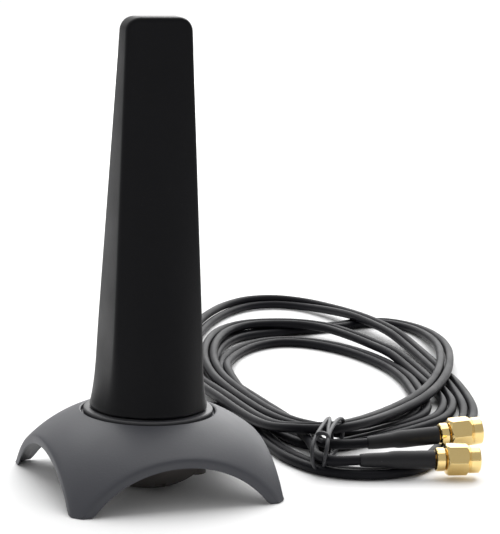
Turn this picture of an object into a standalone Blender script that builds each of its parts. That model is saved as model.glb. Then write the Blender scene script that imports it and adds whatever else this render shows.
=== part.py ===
"""Desktop Wi-Fi tower antenna: a tapered tower on a swivel foot, set in a domed
four-legged magnetic base, with two coax leads that end in screw-on plugs.

Metres, +Z up.  The origin is on the surface the base stands on, under the tower's
axis.  The tower's broad face looks along -Y, the legs point along the diagonals,
and the leads leave the base along +Y.
"""

import math

import bmesh
import bpy
from mathutils import Matrix, Vector

MM = 0.001
GAP = 0.3                       # clearance between neighbouring pieces, mm

# Base, mm
DOME_CENTRE_R = 5.36            # centre of the arc that the dome's section follows
DOME_CENTRE_Z = -14.88
DOME_ARC = 37.33                # radius of that arc outside and inside
DOME_HOLLOW_ARC = 35.7
LEG_CORNER = 29.1               # plan: x and y of the corner that a leg tip rounds off
SIDE_MIDDLE = 29.5              # plan: how far out the middle of each side is
LEG_TIP_RADIUS = 3.0
SEAT_RADIUS = 17.9
SEAT_FLOOR = 18.8
SEAT_UNDERSIDE = 17.3
HUB_HOLE = 6.4
HUB_RADIUS = 9.2
HUB_BOTTOM = 14.5
BOWL_RADIUS = 22.4
BOWL_CENTRE = 21.3
BOWL_WALL = 1.5
BOWL_BOTTOM = 0.6
BOWL_FLOOR = 2.4
BOWL_RIM = 16.4
SCREW_CIRCLE = 14.0             # the bowl's screws stand on this radius, under the legs
BOSS_TOP = 8.0
POCKET_TOP = 6.2
MAGNET_RADIUS = 8.2
MAGNET_BOTTOM = BOWL_FLOOR + GAP
MAGNET_TOP = 4.7
KEEPER_TOP = 5.9

# Tower, mm
FOOT_TOP = 20.8
FLANGE_RADIUS = 17.3
FLANGE_BOTTOM = SEAT_FLOOR + GAP
PLUG_RADIUS = 12.0
PLUG_TOP = 24.5
STEM_RADIUS = HUB_HOLE - 0.4
STEM_HOLE = 4.0
STEM_BOTTOM = 10.8
RADOME_BOTTOM = FOOT_TOP + GAP
TOWER_HEIGHT = 124.7
RADOME_WALL = 1.5
TOP_WALL = 2.4
SKIRT_HEIGHT = 0.8              # upright band at the tower's foot
FOOT_CIRCLE = 16.0
CORNER_X_LOW, CORNER_X_HIGH = 13.1, 8.95    # half width between the tower's four edges
CORNER_Y_LOW, CORNER_Y_HIGH = 8.9, 3.3      # half depth between them
TOP_ROUNDING = 3.6
EDGE_ROUNDING = 1.0             # of the top face's rim
EDGE_EASE = 0.7                 # cut back along both faces at each upright edge
CARRIER_FRONT = 0.2             # y of the board carrier's front face
BOARD_THICKNESS = 0.8
FOIL_THICKNESS = 0.25

# Leads and plugs, mm
LEAD_DIAMETER = 2.8
LEAD_SPACING = 3.4              # half the distance between the two strain reliefs
GLAND_HEIGHT = 7.4
GLAND_START = 9.6
GLAND_END = 29.0
COIL_BOTTOM = 0.2
COIL_TOP = 8.2
SLEEVE_LENGTH = 20.6
SLEEVE_RADIUS = 2.5
HEX_ACROSS_FLATS = 8.0
NUT_START = 23.7
NUT_HEX_END = 29.9
NUT_END = 33.1
PLUGS = {                       # sleeve start, turn about Z and upward tilt in degrees
    "a": dict(start=(66.5, 4.1, 4.9), turn=-9.2, tilt=5.0),
    "b": dict(start=(56.6, -13.3, 5.3), turn=-12.7, tilt=0.0),
}

# Routes of the leads where they are not coiled, mm
RUN_OUT = {
    "a": [(1.8, -1.6, 9.4), (2.0, 0.8, 8.2), (2.8, 4.2, 7.5), (3.4, 9.0, 7.4),
          (3.4, 20.0, 7.4), (3.4, 30.0, 7.3), (4.2, 36.0, 6.2), (7.4, 43.0, 3.6),
          (14.0, 51.0, 1.8), (23.0, 58.4, 1.6), (32.4, 63.2, 1.6), (42.2, 65.2, 1.7)],
    "b": [(-1.8, -1.6, 9.4), (-2.0, 0.8, 8.2), (-2.8, 4.2, 7.5), (-3.4, 9.0, 7.4),
          (-3.4, 20.0, 7.4), (-3.4, 30.0, 7.3), (-2.4, 37.0, 6.2), (1.8, 45.4, 3.6),
          (9.2, 55.2, 1.8), (20.0, 64.4, 1.6), (31.6, 70.4, 1.6), (43.3, 72.6, 1.7)],
}
RUN_IN = {
    "a": [(46.6, 13.0, 4.0), (47.0, 8.6, 4.0), (50.6, 5.0, 4.2), (56.4, 4.8, 4.6)],
    "b": [(42.4, 15.4, 4.0), (40.0, 8.0, 4.0), (39.8, -1.6, 4.1), (43.8, -8.8, 4.5),
          (49.6, -11.9, 5.1)],
}
# Outline of the coil in plan, mm: x, y
COIL_OUTSIDE = [(43.4, 18.0), (51.0, 13.6), (58.6, 13.4), (74.0, 16.6), (98.0, 29.0),
                (124.0, 57.0), (146.0, 98.0), (157.0, 144.0), (152.0, 188.0),
                (134.0, 219.0), (112.0, 226.0), (92.0, 208.0), (72.0, 170.0),
                (56.0, 128.0), (46.0, 84.0), (41.0, 46.0)]
COIL_INSIDE = [(58.0, 34.0), (64.0, 80.0), (76.0, 124.0), (92.0, 150.0), (108.0, 152.0),
               (118.0, 128.0), (112.0, 84.0), (90.0, 48.0), (72.0, 34.0)]


def scaled(values):
    """Millimetres to metres."""
    return tuple(value * MM for value in values)


def start_empty_scene():
    for obj in list(bpy.data.objects):
        bpy.data.objects.remove(obj, do_unlink=True)
    for collection in list(bpy.data.collections):
        bpy.data.collections.remove(collection)
    parts = bpy.data.collections.new("wifi_tower_antenna")
    cutters = bpy.data.collections.new("cutters")
    bpy.context.scene.collection.children.link(parts)
    bpy.context.scene.collection.children.link(cutters)
    return parts, cutters


PARTS, CUTTERS = start_empty_scene()


# ---------------------------------------------------------------- materials

def material(name, colour, roughness, metallic=0.0):
    made = bpy.data.materials.new(name)
    made.use_nodes = True
    shader = made.node_tree.nodes["Principled BSDF"]
    shader.inputs["Base Color"].default_value = (*colour, 1.0)
    shader.inputs["Roughness"].default_value = roughness
    shader.inputs["Metallic"].default_value = metallic
    return made


RADOME_BLACK = material("radome_black", (0.012, 0.012, 0.014), 0.42)
BASE_GREY = material("base_satin_grey", (0.075, 0.078, 0.085), 0.50)
BOWL_GREY = material("bowl_warm_grey", (0.035, 0.032, 0.030), 0.60)
FOOT_BLACK = material("foot_black", (0.020, 0.020, 0.022), 0.45)
LEAD_BLACK = material("lead_black", (0.018, 0.018, 0.022), 0.45)
SHRINK_BLACK = material("shrink_black", (0.015, 0.015, 0.017), 0.60)
RUBBER_BLACK = material("rubber_black", (0.020, 0.020, 0.020), 0.80)
TIE_BLACK = material("tie_black", (0.020, 0.020, 0.024), 0.50)
GOLD = material("gold_plate", (0.830, 0.600, 0.260), 0.22, 1.0)
STEEL = material("screw_steel", (0.480, 0.480, 0.500), 0.35, 1.0)
MAGNET_NICKEL = material("magnet_nickel", (0.560, 0.550, 0.530), 0.28, 1.0)
BOARD_GREEN = material("board_green", (0.030, 0.110, 0.045), 0.45)
COPPER = material("foil_copper", (0.780, 0.390, 0.210), 0.35, 1.0)
CARRIER_WHITE = material("carrier_white", (0.620, 0.620, 0.600), 0.50)
PTFE_WHITE = material("ptfe_white", (0.850, 0.850, 0.840), 0.55)
SEAL_RED = material("seal_red", (0.420, 0.060, 0.040), 0.60)


# ------------------------------------------------------------ making shapes

def place(name, data, finish, parent=None, collection=None):
    """Make an object from a mesh or curve; a child sits at its parent's origin."""
    obj = bpy.data.objects.new(name, data)
    (collection or PARTS).objects.link(obj)
    if finish:
        data.materials.append(finish)
    obj.parent = parent
    return obj


def as_cutter(obj):
    PARTS.objects.unlink(obj)
    CUTTERS.objects.link(obj)
    obj.hide_render = True
    obj.display_type = "WIRE"
    return obj


def turned(name, outline, finish, steps, parent=None):
    """Turn an outline of (radius, height) points in mm about the local Z axis.

    An outline that starts or ends on the axis stays open there; any other is a ring.
    """
    closed = outline[0][0] > 0.0 or outline[-1][0] > 0.0
    area = sum(a[0] * b[1] - b[0] * a[1]
               for a, b in zip(outline, outline[1:] + outline[:1]))
    points = outline if area < 0.0 else outline[::-1]
    mesh = bpy.data.meshes.new(name)
    count = len(points)
    edges = [(i, i + 1) for i in range(count - 1)]
    if closed:
        edges.append((count - 1, 0))
    mesh.from_pydata([(r * MM, 0.0, z * MM) for r, z in points], edges, [])
    obj = place(name, mesh, finish, parent)
    screw = obj.modifiers.new("turn", "SCREW")
    screw.axis = "Z"
    screw.angle = 2.0 * math.pi
    screw.steps = steps
    screw.render_steps = steps
    screw.use_merge_vertices = True
    screw.merge_threshold = 0.00001
    screw.use_smooth_shade = False
    return obj


def ring(name, inner, outer, low, high, finish, steps, parent=None):
    return turned(name, [(inner, high), (outer, high), (outer, low), (inner, low)],
                  finish, steps, parent)


def disc(name, radius, low, high, finish, steps, parent=None):
    return turned(name, [(0.0, high), (radius, high), (radius, low), (0.0, low)],
                  finish, steps, parent)


def box(name, low, high, finish, parent=None):
    mesh = bpy.data.meshes.new(name)
    shape = bmesh.new()
    bmesh.ops.create_cube(shape, size=1.0)
    size = Vector(high) - Vector(low)
    middle = (Vector(high) + Vector(low)) / 2.0
    bmesh.ops.scale(shape, vec=size * MM, verts=shape.verts)
    bmesh.ops.translate(shape, vec=middle * MM, verts=shape.verts)
    shape.to_mesh(mesh)
    shape.free()
    return place(name, mesh, finish, parent)


def pegs(name, places, radius, low, high, sides=16):
    """Several upright cylinders in one mesh, used to join or to cut."""
    mesh = bpy.data.meshes.new(name)
    shape = bmesh.new()
    for x, y in places:
        centre = Matrix.Translation(Vector((x, y, (low + high) / 2.0)) * MM)
        bmesh.ops.create_cone(shape, cap_ends=True, segments=sides, radius1=radius * MM,
                              radius2=radius * MM, depth=(high - low) * MM, matrix=centre)
    shape.to_mesh(mesh)
    shape.free()
    return as_cutter(place(name, mesh, None))


def plate(name, outline, low, high, finish, axis="Z", parent=None):
    """A flat outline in mm given thickness from low to high.

    Along Z the outline is (x, y); along Y it is (x, z) and lies in an upright plane.
    """
    curve = bpy.data.curves.new(name, "CURVE")
    curve.dimensions = "2D"
    curve.fill_mode = "BOTH"
    curve.extrude = (high - low) / 2.0 * MM
    line = curve.splines.new("POLY")
    line.points.add(len(outline) - 1)
    for point, (u, v) in zip(line.points, outline):
        point.co = (u * MM, v * MM, 0.0, 1.0)
    line.use_cyclic_u = True
    obj = place(name, curve, finish, parent)
    middle = (low + high) / 2.0 * MM
    if axis == "Z":
        obj.location = (0.0, 0.0, middle)
    else:
        obj.location = (0.0, middle, 0.0)
        obj.rotation_euler = (math.pi / 2.0, 0.0, 0.0)
    return obj


def smooth_route(points, spacing):
    """Points along a smooth curve through the given ones, about spacing apart."""
    ends = [2 * points[0] - points[1]] + points + [2 * points[-1] - points[-2]]
    line = [points[0]]
    for before, start, end, after in zip(ends, ends[1:], ends[2:], ends[3:]):
        pieces = max(1, round((end - start).length / spacing))
        for step in range(1, pieces + 1):
            t = step / pieces
            line.append(0.5 * (2.0 * start + (end - before) * t
                               + (2.0 * before - 5.0 * start + 4.0 * end - after) * t ** 2
                               + (3.0 * start - before - 3.0 * end + after) * t ** 3))
    return line


def tube(name, route, diameter, finish, spacing=6.0, parent=None):
    """A round cord along a smooth curve through route, in mm."""
    curve = bpy.data.curves.new(name, "CURVE")
    curve.dimensions = "3D"
    curve.bevel_depth = diameter / 2.0 * MM
    curve.bevel_resolution = 2
    curve.use_fill_caps = True
    line = curve.splines.new("POLY")
    points = smooth_route([Vector(point) for point in route], spacing)
    line.points.add(len(points) - 1)
    for point, place_mm in zip(line.points, points):
        point.co = (*(place_mm * MM), 1.0)
    return place(name, curve, finish, parent)


def made_mesh(obj):
    """Replace a curve object by its mesh, with the caps welded on."""
    graph = bpy.context.evaluated_depsgraph_get()
    graph.update()
    mesh = bpy.data.meshes.new_from_object(obj.evaluated_get(graph))
    shape = bmesh.new()
    shape.from_mesh(mesh)
    bmesh.ops.remove_doubles(shape, verts=shape.verts, dist=0.000001)
    shape.to_mesh(mesh)
    shape.free()
    name, matrix, parent = obj.name, obj.matrix_world.copy(), obj.parent
    bpy.data.objects.remove(obj, do_unlink=True)
    mesh.name = name
    new = place(name, mesh, None, parent)
    new.matrix_world = matrix
    return new


def combine(target, other, operation):
    cut = target.modifiers.new(operation.lower(), "BOOLEAN")
    cut.object = other
    cut.operation = operation
    cut.solver = "EXACT"


def arc(centre_r, centre_z, radius_r, radius_z, start, end, count):
    """Points of an elliptical arc; angles in degrees from +r towards +z."""
    points = []
    for step in range(count + 1):
        angle = math.radians(start + (end - start) * step / count)
        points.append((centre_r + radius_r * math.cos(angle),
                       centre_z + radius_z * math.sin(angle)))
    return points


# --------------------------------------------------------------------- base

def side_bulge(step, count):
    """One side's outline in plan, from the corner at (-,-) to the corner at (+,-)."""
    t = step / count
    x = LEG_CORNER * (2.0 * t - 1.0)
    return x, -(LEG_CORNER + (SIDE_MIDDLE - LEG_CORNER) * 4.0 * t * (1.0 - t))


def base_plan():
    """The upright prism that trims the dome to four sides and rounded leg tips."""
    count = 8
    outline = []
    for turn in range(4):
        spin = Matrix.Rotation(turn * math.pi / 2.0, 2)
        outline += [spin @ Vector(side_bulge(step, count)) for step in range(count)]
    prism = made_mesh(plate("base_plan", [tuple(point) for point in outline],
                            -1.0, 30.0, None))
    shape = bmesh.new()
    shape.from_mesh(prism.data)
    corner = LEG_CORNER * MM
    upright = [edge for edge in shape.edges
               if all(abs(abs(v.co.x) - corner) < 1e-5 and abs(abs(v.co.y) - corner) < 1e-5
                      for v in edge.verts)]
    bmesh.ops.bevel(shape, geom=upright, offset=LEG_TIP_RADIUS * MM, offset_type="OFFSET",
                    segments=4, profile=0.5, affect="EDGES")
    shape.to_mesh(prism.data)
    shape.free()
    return as_cutter(prism)


def dome_arc(arc_radius, highest_radius, count):
    """The dome's section from a given distance from the axis down to the floor."""
    start = math.degrees(math.acos((highest_radius - DOME_CENTRE_R) / arc_radius))
    end = math.degrees(math.asin(-DOME_CENTRE_Z / arc_radius))
    return arc(DOME_CENTRE_R, DOME_CENTRE_Z, arc_radius, arc_radius, start, end, count)


SCREW_PLACES = [(SCREW_CIRCLE * math.cos(a), SCREW_CIRCLE * math.sin(a))
                for a in (math.radians(45.0 + 90.0 * turn) for turn in range(4))]


def make_base_shell():
    outside = dome_arc(DOME_ARC, SEAT_RADIUS + 0.5, 8)
    inside = dome_arc(DOME_HOLLOW_ARC, SEAT_RADIUS + 1.5, 7)[::-1]
    lip = outside[0][1] - 0.35
    outline = [(HUB_HOLE, SEAT_FLOOR), (SEAT_RADIUS, SEAT_FLOOR), (SEAT_RADIUS, lip)]
    outline += outside + inside
    outline += [(SEAT_RADIUS + 0.4, SEAT_UNDERSIDE), (HUB_RADIUS, SEAT_UNDERSIDE),
                (HUB_RADIUS, HUB_BOTTOM), (HUB_HOLE, HUB_BOTTOM)]
    shell = turned("base_shell", outline, BASE_GREY, 48)
    combine(shell, base_plan(), "INTERSECT")
    combine(shell, pegs("base_posts", SCREW_PLACES, 2.4, BOSS_TOP + GAP, 18.0, 12), "UNION")
    combine(shell, pegs("base_pilots", SCREW_PLACES, 1.3, 5.0, 14.0, 10), "DIFFERENCE")
    return shell


def make_base_bowl():
    def sphere_radius(height, radius):
        return math.sqrt(radius ** 2 - (BOWL_CENTRE - height) ** 2)

    def sphere_angle(height, radius):
        return -math.degrees(math.asin((BOWL_CENTRE - height) / radius))

    inner = BOWL_RADIUS - BOWL_WALL
    wall_in = arc(0.0, BOWL_CENTRE, inner, inner,
                  sphere_angle(BOWL_FLOOR, inner), sphere_angle(BOWL_RIM, inner), 6)
    wall_out = arc(0.0, BOWL_CENTRE, BOWL_RADIUS, BOWL_RADIUS,
                   sphere_angle(BOWL_RIM, BOWL_RADIUS), sphere_angle(BOWL_BOTTOM, BOWL_RADIUS), 8)
    outline = [(0.0, BOWL_FLOOR)] + wall_in + wall_out + [(0.0, BOWL_BOTTOM)]
    bowl = turned("base_bowl", outline, BOWL_GREY, 40)
    boss_low = BOWL_CENTRE - math.sqrt(inner ** 2 - (SCREW_CIRCLE - 3.0) ** 2)
    combine(bowl, pegs("bowl_bosses", SCREW_PLACES, 3.1, boss_low, BOSS_TOP, 12), "UNION")
    combine(bowl, pegs("bowl_pockets", SCREW_PLACES, 2.3, -1.0, POCKET_TOP, 12), "DIFFERENCE")
    combine(bowl, pegs("bowl_holes", SCREW_PLACES, 1.3, 0.0, BOSS_TOP + 1.0, 10), "DIFFERENCE")
    notch = as_cutter(box("bowl_notch", (-1.6, -12.4, -1.0), (1.6, -8.9, 2.9), None))
    combine(bowl, notch, "DIFFERENCE")
    for side in (-1.0, 1.0):
        hole = disc("gland_hole", 2.9, 0.0, 12.0, None, 16)
        hole.location = scaled((side * LEAD_SPACING, 10.0, GLAND_HEIGHT))
        hole.rotation_euler = (-math.pi / 2.0, 0.0, 0.0)
        combine(bowl, as_cutter(hole), "DIFFERENCE")
    return bowl


def make_base_fittings():
    disc("magnet", MAGNET_RADIUS, MAGNET_BOTTOM, MAGNET_TOP, MAGNET_NICKEL, 28)
    disc("keeper_plate", MAGNET_RADIUS + 0.6, MAGNET_TOP + GAP, KEEPER_TOP, STEEL, 28)
    for number, (x, y) in enumerate(SCREW_PLACES, start=1):
        screw = turned(f"bowl_screw_{number}",
                       [(0.0, 12.5), (1.0, 12.5), (1.0, POCKET_TOP - GAP),
                        (1.9, POCKET_TOP - GAP), (1.9, POCKET_TOP - 1.5), (0.0, POCKET_TOP - 1.5)],
                       STEEL, 10)
        screw.location = scaled((x, y, 0.0))
    for letter, side in (("a", 1.0), ("b", -1.0)):
        relief = turned(f"strain_relief_{letter}",
                        [(1.7, 0.0), (3.1, 0.0), (3.1, 1.4), (2.6, 1.4), (2.6, 9.4),
                         (2.35, 13.0), (2.0, GLAND_END - GLAND_START),
                         (1.7, GLAND_END - GLAND_START)],
                        RUBBER_BLACK, 16)
        relief.location = scaled((side * LEAD_SPACING, GLAND_START, GLAND_HEIGHT))
        relief.rotation_euler = (-math.pi / 2.0, 0.0, 0.0)


# -------------------------------------------------------------------- tower

def tower_section(height):
    """Half width, half depth and the bow of the faces at a height, in mm."""
    height = max(height, RADOME_BOTTOM + SKIRT_HEIGHT)
    t = (height - RADOME_BOTTOM) / (TOWER_HEIGHT - RADOME_BOTTOM)
    x = CORNER_X_LOW + (CORNER_X_HIGH - CORNER_X_LOW) * t
    y = CORNER_Y_LOW + (CORNER_Y_HIGH - CORNER_Y_LOW) * t
    front_bow = (FOOT_CIRCLE - CORNER_Y_LOW) * (1.0 - t) ** 1.6
    foot = max(0.0, 1.0 - (height - RADOME_BOTTOM) / 14.0)
    side_bow = 0.15 + (FOOT_CIRCLE - CORNER_X_LOW - 0.15) * foot ** 2
    below_top = TOP_ROUNDING - (TOWER_HEIGHT - height)
    if below_top > 0.0:
        x -= TOP_ROUNDING - math.sqrt(max(0.0, TOP_ROUNDING ** 2 - below_top ** 2))
    below_edge = EDGE_ROUNDING - (TOWER_HEIGHT - height)
    if below_edge > 0.0:
        y -= EDGE_ROUNDING - math.sqrt(max(0.0, EDGE_ROUNDING ** 2 - below_edge ** 2))
    return x, y, front_bow, side_bow


def bowed_line(start, end, bow, count):
    """Points from start towards end on a shallow arc that stands out by bow."""
    along = end - start
    out = Vector((along.y, -along.x)).normalized()
    line = []
    for step in range(count):
        t = step / count
        line.append(start + along * t + out * bow * 4.0 * t * (1.0 - t))
    return line


def tower_outline(height, inset):
    """Closed plan outline of the tower at a height, with its four edges eased."""
    x, y, front_bow, side_bow = tower_section(height)
    x -= inset
    y -= inset
    corners = [Vector((-x, -y)), Vector((x, -y)), Vector((x, y)), Vector((-x, y))]
    bows = [front_bow, side_bow, front_bow, side_bow]
    counts = [8, 4, 8, 4]
    outline = []
    for turn in range(4):
        corner, following = corners[turn], corners[(turn + 1) % 4]
        along = (following - corner).normalized() * EDGE_EASE
        outline += bowed_line(corner + along, following - along, bows[turn], counts[turn])
        outline.append(following - along)
    return outline


def lofted_tower(name, heights, inset, finish):
    """A closed loft through the tower's outlines at the given heights."""
    shape = bmesh.new()
    loops = []
    for height in heights:
        loops.append([shape.verts.new(Vector((point.x, point.y, height)) * MM)
                      for point in tower_outline(height, inset)])
    for lower, upper in zip(loops, loops[1:]):
        for i, corner in enumerate(lower):
            j = (i + 1) % len(lower)
            shape.faces.new((corner, lower[j], upper[j], upper[i]))
    shape.faces.new(loops[0][::-1])
    shape.faces.new(loops[-1])
    bmesh.ops.triangulate(shape, faces=shape.faces)
    mesh = bpy.data.meshes.new(name)
    shape.to_mesh(mesh)
    shape.free()
    return place(name, mesh, finish, TOWER_AXIS)


def make_radome():
    """The tower's shell: round at the foot, a thin rounded rectangle at the top."""
    heights = [RADOME_BOTTOM + SKIRT_HEIGHT, 23.0, 25.5, 28.5, 32.0, 36.0, 52.0, 72.0, 96.0]
    outside = [RADOME_BOTTOM] + heights + [TOWER_HEIGHT - TOP_ROUNDING * share
                                           for share in (1.0, 0.6, 0.28, 0.12, 0.03)]
    inside = [RADOME_BOTTOM - 1.0] + heights + [TOWER_HEIGHT - TOP_WALL]
    radome = lofted_tower("radome", outside, 0.0, RADOME_BLACK)
    hollow = as_cutter(lofted_tower("radome_hollow", inside, RADOME_WALL, None))
    combine(radome, hollow, "DIFFERENCE")


def make_swivel_foot():
    foot = turned("swivel_foot",
                  [(STEM_HOLE, PLUG_TOP), (PLUG_RADIUS, PLUG_TOP), (PLUG_RADIUS, FOOT_TOP),
                   (FLANGE_RADIUS - 0.4, FOOT_TOP), (FLANGE_RADIUS, FOOT_TOP - 0.4),
                   (FLANGE_RADIUS, FLANGE_BOTTOM), (STEM_RADIUS, FLANGE_BOTTOM),
                   (STEM_RADIUS, STEM_BOTTOM), (STEM_HOLE, STEM_BOTTOM)],
                  FOOT_BLACK, 40, TOWER_AXIS)
    screws = [(-9.0, 0.0), (9.0, 0.0)]
    combine(foot, pegs("foot_holes", screws, 1.3, 18.0, 26.0, 10), "DIFFERENCE")
    combine(foot, pegs("foot_pockets", screws, 2.2, 18.0, 20.8, 12), "DIFFERENCE")
    for side, (x, y) in zip(("left", "right"), screws):
        screw = turned(f"foot_screw_{side}",
                       [(0.0, 29.0), (1.0, 29.0), (1.0, 20.5), (1.9, 20.5), (1.9, 19.3),
                        (0.0, 19.3)],
                       STEEL, 10, TOWER_AXIS)
        screw.location = scaled((x, y, 0.0))
    ring("friction_washer", HUB_HOLE, HUB_RADIUS, HUB_BOTTOM - GAP - 0.5, HUB_BOTTOM - GAP,
         STEEL, 24, TOWER_AXIS)
    nut_top = HUB_BOTTOM - 2.0 * GAP - 0.5
    hexagon = [(9.0 * math.cos(math.radians(60 * k)), 9.0 * math.sin(math.radians(60 * k)))
               for k in range(6)]
    nut = made_mesh(plate("swivel_nut", hexagon, STEM_BOTTOM + 0.2, nut_top, STEEL, "Z",
                          TOWER_AXIS))
    nut.data.materials.append(STEEL)
    bore = pegs("nut_bore", [(0.0, 0.0)], STEM_RADIUS + GAP, 5.0, 20.0, 24)
    combine(nut, bore, "DIFFERENCE")


def make_tower_inside():
    upright = [(-9.5, 29.5), (9.5, 29.5), (5.6, 112.0), (-5.6, 112.0)]
    carrier = made_mesh(plate("board_carrier", upright, CARRIER_FRONT, CARRIER_FRONT + 1.2,
                              CARRIER_WHITE, "Y", TOWER_AXIS))
    carrier.data.materials.append(CARRIER_WHITE)
    block = as_cutter(box("carrier_block", (-10.8, -4.5, PLUG_TOP + GAP), (10.8, 4.5, 30.0),
                          None))
    combine(carrier, block, "UNION")
    combine(carrier, pegs("carrier_holes", [(-9.0, 0.0), (9.0, 0.0)], 1.3, 20.0, 29.4, 10),
            "DIFFERENCE")
    combine(carrier, pegs("carrier_pass", [(0.0, -0.6)], 3.8, 20.0, 36.0, 16), "DIFFERENCE")
    board_back = CARRIER_FRONT - GAP
    board_front = board_back - BOARD_THICKNESS
    foil_back = board_front - GAP
    for letter, side in (("a", 1.0), ("b", -1.0)):
        box(f"antenna_board_{letter}", (min(side * 0.5, side * 6.5), board_front, 38.0),
            (max(side * 0.5, side * 6.5), board_back, 108.0), BOARD_GREEN, TOWER_AXIS)
        lower = [(1.2, 42.0), (2.4, 42.0), (2.4, 68.0), (4.6, 68.0), (4.6, 42.0),
                 (5.8, 42.0), (5.8, 71.0), (1.2, 71.0)]
        upper = [(2.2, 74.0), (4.8, 74.0), (4.8, 100.0), (5.8, 100.0), (5.8, 104.0),
                 (1.2, 104.0), (1.2, 100.0), (2.2, 100.0)]
        for arm, outline in (("lower", lower), ("upper", upper)):
            points = [(side * x, z) for x, z in outline]
            plate(f"dipole_{letter}_{arm}", points if side > 0 else points[::-1],
                  foil_back - FOIL_THICKNESS, foil_back, COPPER, "Y", TOWER_AXIS)
        tube(f"inner_lead_{letter}",
             [(side * 1.8, 0.0, STEM_BOTTOM + 0.3), (side * 1.8, 0.0, 18.0),
              (side * 1.8, -0.4, 26.0), (side * 2.2, -1.7, 32.0), (side * 3.4, -2.0, 37.5)],
             LEAD_DIAMETER, LEAD_BLACK, 4.0, TOWER_AXIS)


# -------------------------------------------------------- leads, coil, plugs

def make_plug(letter, start, turn, tilt):
    """One screw-on plug; its pieces are turned about the axis of their empty."""
    axis = bpy.data.objects.new(f"plug_axis_{letter}", None)
    PARTS.objects.link(axis)
    axis.location = scaled(start)
    axis.rotation_euler = (0.0, math.radians(90.0 - tilt), math.radians(turn))
    turned(f"heat_shrink_{letter}",
           [(1.75, 0.0), (1.9, 0.0), (2.15, 1.2), (2.2, 7.6), (SLEEVE_RADIUS, 9.0),
            (SLEEVE_RADIUS, SLEEVE_LENGTH), (2.05, SLEEVE_LENGTH), (1.75, 8.0)],
           SHRINK_BLACK, 16, axis)
    disc(f"crimp_ferrule_{letter}", 1.7, 9.2, SLEEVE_LENGTH - GAP, GOLD, 12, axis)
    body_rear = SLEEVE_LENGTH + GAP
    collar_end = NUT_START - GAP
    turned(f"plug_body_{letter}",
           [(0.0, 25.0), (1.6, 25.0), (1.6, 31.4), (2.2, 31.4), (2.2, collar_end),
            (3.2, collar_end - 0.2), (3.2, body_rear + 0.2), (3.0, body_rear),
            (0.0, body_rear)],
           GOLD, 24, axis)
    ring(f"plug_dielectric_{letter}", 0.9, 1.3, 25.3, 31.0, PTFE_WHITE, 14, axis)
    ring(f"center_socket_{letter}", 0.3, 0.6, 25.6, 30.6, GOLD, 10, axis)
    ring(f"snap_ring_{letter}", 2.5, 2.8, 25.8, 26.3, STEEL, 16, axis)
    ring(f"plug_gasket_{letter}", 2.5, 2.8, 26.6, 27.4, SEAL_RED, 16, axis)
    corner = HEX_ACROSS_FLATS / 2.0 / math.cos(math.pi / 6.0)
    blank = turned(f"coupling_nut_{letter}",
                   [(2.5, NUT_START), (3.9, NUT_START), (corner + 0.1, NUT_START + 0.75),
                    (corner + 0.1, NUT_HEX_END - 0.75), (3.85, NUT_HEX_END),
                    (3.85, NUT_END - 0.3), (3.55, NUT_END), (3.1, NUT_END),
                    (3.1, NUT_START + 1.7), (2.5, NUT_START + 1.7)],
                   GOLD, 24, axis)
    hexagon = pegs(f"hex_{letter}", [(0.0, 0.0)], corner, NUT_START - 1.0, NUT_END + 1.0, 6)
    hexagon.parent = axis
    hexagon.rotation_euler = (0.0, 0.0, math.radians(30.0))
    combine(blank, hexagon, "INTERSECT")


def plug_point(letter, along):
    """A point on a plug's axis, in mm."""
    plug = PLUGS[letter]
    turn, tilt = math.radians(plug["turn"]), math.radians(plug["tilt"])
    direction = Vector((math.cos(turn) * math.cos(tilt), math.sin(turn) * math.cos(tilt),
                        math.sin(tilt)))
    return Vector(plug["start"]) + direction * along


def closed_outline(points, pieces):
    """A smooth closed outline through points in plan."""
    count = len(points)
    line = []
    for i in range(count):
        before, start, end, after = (Vector(points[(i + k - 1) % count]) for k in range(4))
        for step in range(pieces):
            t = step / pieces
            line.append(0.5 * (2.0 * start + (end - before) * t
                               + (2.0 * before - 5.0 * start + 4.0 * end - after) * t ** 2
                               + (3.0 * start - before - 3.0 * end + after) * t ** 3))
    return line


def make_coil():
    """The outer shape of the loosely wound loops: a flat oval ring on the floor."""
    curve = bpy.data.curves.new("lead_coil", "CURVE")
    curve.dimensions = "2D"
    curve.fill_mode = "BOTH"
    curve.extrude = (COIL_TOP - COIL_BOTTOM) / 2.0 * MM
    for outline in (COIL_OUTSIDE, COIL_INSIDE):
        points = closed_outline(outline, 3)
        line = curve.splines.new("POLY")
        line.points.add(len(points) - 1)
        for point, place_mm in zip(line.points, points):
            point.co = (place_mm.x * MM, place_mm.y * MM, 0.0, 1.0)
        line.use_cyclic_u = True
    coil = place("lead_coil", curve, LEAD_BLACK)
    coil.location = scaled((0.0, 0.0, (COIL_TOP + COIL_BOTTOM) / 2.0))


def make_leads():
    for letter in ("a", "b"):
        tube(f"lead_{letter}_run_out", RUN_OUT[letter], LEAD_DIAMETER, LEAD_BLACK)
        route = list(RUN_IN[letter])
        route += [tuple(plug_point(letter, -3.4)), tuple(plug_point(letter, -GAP))]
        tube(f"lead_{letter}_run_in", route, LEAD_DIAMETER, LEAD_BLACK, 4.0)
    make_coil()


def make_twist_tie():
    """A wire tie round the front of the coil and the two leads beside it."""
    tube("twist_tie",
         [(47.8, -7.8, 9.6), (45.4, -12.0, 8.4), (45.2, -13.4, 4.8), (45.6, -12.4, 1.4),
          (49.4, -3.6, 0.9)],
         1.0, TIE_BLACK, 3.0)


TOWER_AXIS = bpy.data.objects.new("tower_axis", None)
PARTS.objects.link(TOWER_AXIS)

make_base_shell()
make_base_bowl()
make_base_fittings()
make_radome()
make_swivel_foot()
make_tower_inside()
make_leads()
make_twist_tie()
for plug_letter, plug in PLUGS.items():
    make_plug(plug_letter, **plug)
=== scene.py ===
import math

import bmesh
import bpy
from mathutils import Matrix, Vector


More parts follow.
